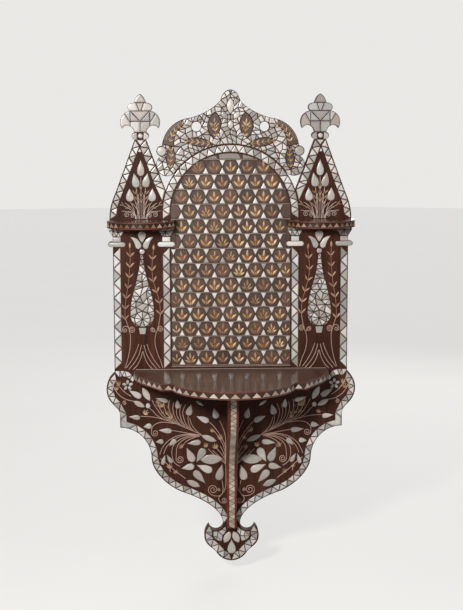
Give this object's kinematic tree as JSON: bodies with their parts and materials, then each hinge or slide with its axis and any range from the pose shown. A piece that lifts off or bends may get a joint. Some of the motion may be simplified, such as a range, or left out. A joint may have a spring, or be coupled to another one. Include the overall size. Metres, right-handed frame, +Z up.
{
  "type": "wall-hung turban stand",
  "caption": "Wall-hung turban stand: an inlaid wooden back with an arched field, spired towers and a pendant apron carries a lobed shelf on a bracket and small half-round gallery shelves.",
  "frame": {"origin": "on the wall plane, on the centre line, level with the top of the main shelf", "axes": "+Z up, +Y into the wall, +X to the right as seen from the front"},
  "size_m": [0.472, 0.2298, 0.9],
  "materials": {
    "walnut": "oiled and polished reddish-brown wood",
    "dark_wood": "dark polished roundels and panels",
    "back_wood": "plain unpolished softwood",
    "shell": "polished grey-white mother-of-pearl",
    "pearl": "polished bright mother-of-pearl",
    "bone": "polished pale bone",
    "wire": "drawn pale metal wire",
    "iron": "dull forged nails"
  },
  "bodies": {
    "root": {"centre_plank": "walnut", "left_plank": "walnut", "right_plank": "walnut", "main_shelf": "walnut", "bracket": "walnut", "left_gallery_shelf": "walnut", "right_gallery_shelf": "walnut", "seam_dowels": "back_wood", "upper_batten": "back_wood", "lower_batten": "back_wood", "batten_pegs": "back_wood", "shelf_nails": "iron", "bracket_nails": "iron", "gallery_nails": "iron", "lattice_roundels": "dark_wood", "crest_panels": "dark_wood", "lattice_wires": "wire", "lattice_triangles": "shell", "arch_border": "shell", "left_inner_column": "shell", "left_outer_column": "shell", "right_inner_column": "shell", "right_outer_column": "shell", "left_capitals": "shell", "right_capitals": "shell", "left_spire_border": "shell", "right_spire_border": "shell", "left_finial_shell": "shell", "right_finial_shell": "shell", "crest_mosaic": "shell", "left_apron_border": "shell", "right_apron_border": "shell", "pendant_border": "shell", "bracket_edge_strip": "shell", "left_vase": "pearl", "right_vase": "pearl", "left_spire_petals": "pearl", "right_spire_petals": "pearl", "crest_petals": "pearl", "left_apron_petals": "pearl", "right_apron_petals": "pearl", "pendant_petals": "pearl", "shelf_edge_teeth": "bone", "left_gallery_teeth": "bone", "right_gallery_teeth": "bone"}
  },
  "joints": []
}
